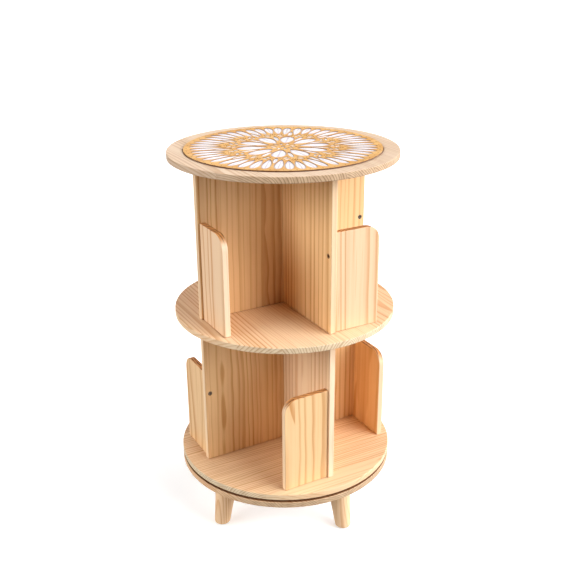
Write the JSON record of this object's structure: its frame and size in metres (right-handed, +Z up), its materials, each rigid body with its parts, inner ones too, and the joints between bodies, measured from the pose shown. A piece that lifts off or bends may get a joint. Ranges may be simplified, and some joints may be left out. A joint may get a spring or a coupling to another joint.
{
  "type": "rotating display rack",
  "caption": "Round wooden display rack with stacked open tiers, crossed uprights, book stops and an openwork top, turning on a splayed-leg base.",
  "frame": {"origin": "on the floor, under the turning axis", "axes": "+Z up along the turning axis; X and Y along the crossed uprights at rest"},
  "size_m": [0.4, 0.4, 0.6972],
  "materials": {
    "pine": "clear satin lacquer on edge-glued pine staves",
    "pine_turned": "clear satin lacquer on turned pine",
    "beech": "fluted dowel, unfinished",
    "golden_wood": "cut and stained fretwork, satin",
    "white_backing": "matt white sheet",
    "screw_steel": "bronzed steel screw",
    "zinc_steel": "zinc plated",
    "bearing_steel": "zinc plated, greased race",
    "glide_plastic": "matt"
  },
  "bodies": {
    "base": {"base_board": "pine", "leg_1": "pine_turned", "leg_2": "pine_turned", "leg_3": "pine_turned", "leg_4": "pine_turned", "hanger_bolt_1": "zinc_steel", "hanger_bolt_2": "zinc_steel", "hanger_bolt_3": "zinc_steel", "hanger_bolt_4": "zinc_steel", "tee_nut_1": "zinc_steel", "tee_nut_2": "zinc_steel", "tee_nut_3": "zinc_steel", "tee_nut_4": "zinc_steel", "glide_1": "glide_plastic", "glide_2": "glide_plastic", "glide_3": "glide_plastic", "glide_4": "glide_plastic", "bearing_lower_plate": "bearing_steel", "bearing_eyelet": "bearing_steel"},
    "ball_cage": {"bearing_ball_cage": "bearing_steel"},
    "rack": {"bearing_upper_plate": "bearing_steel", "turntable_deck": "pine", "lower_upright_x": "pine", "lower_upright_y": "pine", "lower_stop_1": "pine", "lower_stop_2": "pine", "lower_stop_3": "pine", "lower_stop_4": "pine", "lower_stop_screw_1": "screw_steel", "lower_stop_screw_2": "screw_steel", "lower_stop_screw_3": "screw_steel", "lower_stop_screw_4": "screw_steel", "deck_screw_1": "zinc_steel", "deck_screw_2": "zinc_steel", "deck_screw_3": "zinc_steel", "deck_screw_4": "zinc_steel", "middle_shelf": "pine", "middle_dowel_1": "beech", "middle_dowel_2": "beech", "middle_dowel_3": "beech", "middle_dowel_4": "beech", "upper_upright_x": "pine", "upper_upright_y": "pine", "upper_stop_1": "pine", "upper_stop_2": "pine", "upper_stop_3": "pine", "upper_stop_4": "pine", "upper_stop_screw_1": "screw_steel", "upper_stop_screw_2": "screw_steel", "upper_stop_screw_3": "screw_steel", "upper_stop_screw_4": "screw_steel", "top_board": "pine", "top_screw_1": "zinc_steel", "top_screw_2": "zinc_steel", "top_screw_3": "zinc_steel", "top_screw_4": "zinc_steel", "ornament_backing": "white_backing", "ornament_fretwork": "golden_wood"}
  },
  "joints": [
    {"name": "turntable_spin", "type": "hinge", "parent": "base", "child": "rack", "pos_m": [0, 0, 0.1115], "axis": [0, 0, 1], "continuous": true},
    {"name": "ball_cage_roll", "type": "hinge", "parent": "base", "child": "ball_cage", "pos_m": [0, 0, 0.1115], "axis": [0, 0, 1], "continuous": true}
  ],
  "couplings": [
    {"joint": "ball_cage_roll", "follows": "turntable_spin", "ratio": 0.5}
  ]
}
